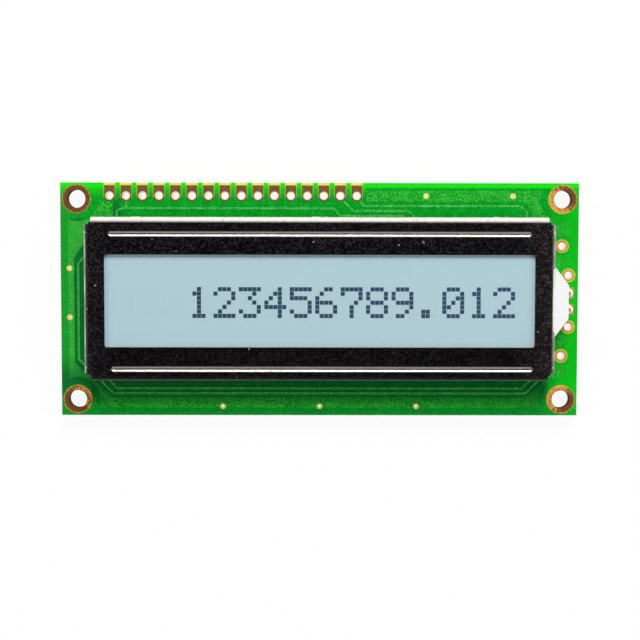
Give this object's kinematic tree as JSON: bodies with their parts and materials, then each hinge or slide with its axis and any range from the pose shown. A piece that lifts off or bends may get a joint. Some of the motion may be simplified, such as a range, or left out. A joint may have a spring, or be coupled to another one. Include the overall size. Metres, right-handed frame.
{
  "type": "character lcd module",
  "caption": "One-row character display on a green driver board, with a folded black bezel, edge-lit backlight, solder-pad header and corner mounting holes.",
  "frame": {"origin": "centre of the four mounting holes, on the circuit board's front face", "axes": "+X along the display, +Y towards the header edge, +Z out of the display's face"},
  "size_m": [0.08, 0.036, 0.0087],
  "materials": {
    "board_green": "glossy green coat over glass fibre laminate",
    "coated_copper": "glossy green coat over copper",
    "bare_copper": "bare copper, slightly dulled",
    "gold_plate": "thin bright plating",
    "black_steel": "semi-gloss black paint on folded steel",
    "polarizer_film": "clear glossy film with a blue-grey cast",
    "display_glass": "clear float glass",
    "cell_seal": "cured epoxy",
    "port_plug": "cured clear resin",
    "liquid_crystal": "clear fluid",
    "rear_film": "silver-grey transflective film",
    "strip_rubber": "layered silicone rubber",
    "white_plastic": "smooth white moulded plastic",
    "white_film": "white reflector film",
    "clear_acrylic": "polished clear acrylic",
    "lamp_resin": "pale resin",
    "tinned_lead": "tinned metal",
    "solder": "bright solder",
    "silicon": "polished silicon",
    "black_resin": "glossy black resin",
    "resistor_glaze": "black glaze on ceramic",
    "capacitor_ceramic": "tan ceramic"
  },
  "bodies": {
    "root": {"printed_circuit_board": "board_green", "mounting_rings": "bare_copper", "header_pads": "bare_copper", "terminal_rings": "bare_copper", "lamp_pads": "bare_copper", "vias": "gold_plate", "front_ground_pour": "coated_copper", "front_tracks": "coated_copper", "contact_fingers": "gold_plate", "bezel": "black_steel", "front_polarizer": "polarizer_film", "front_glass": "display_glass", "cell_seal": "cell_seal", "filling_port_plug": "port_plug", "liquid_crystal": "liquid_crystal", "rear_glass": "display_glass", "rear_polarizer": "rear_film", "upper_contact_strip": "strip_rubber", "lower_contact_strip": "strip_rubber", "backlight_frame": "white_plastic", "reflector_film": "white_film", "light_guide": "clear_acrylic", "diffuser_film": "white_film", "housing_cover_film": "white_film", "lamp_body": "lamp_resin", "lamp_leads": "tinned_lead", "lamp_solder": "solder", "back_tracks": "coated_copper", "back_ground_pour": "coated_copper", "chip_pads": "bare_copper", "controller_die": "silicon", "driver_die": "silicon", "controller_cap": "black_resin", "driver_cap": "black_resin", "chip_resistors": "resistor_glaze", "chip_capacitors": "capacitor_ceramic", "chip_ends": "tinned_lead", "chip_solder": "solder"}
  },
  "joints": []
}
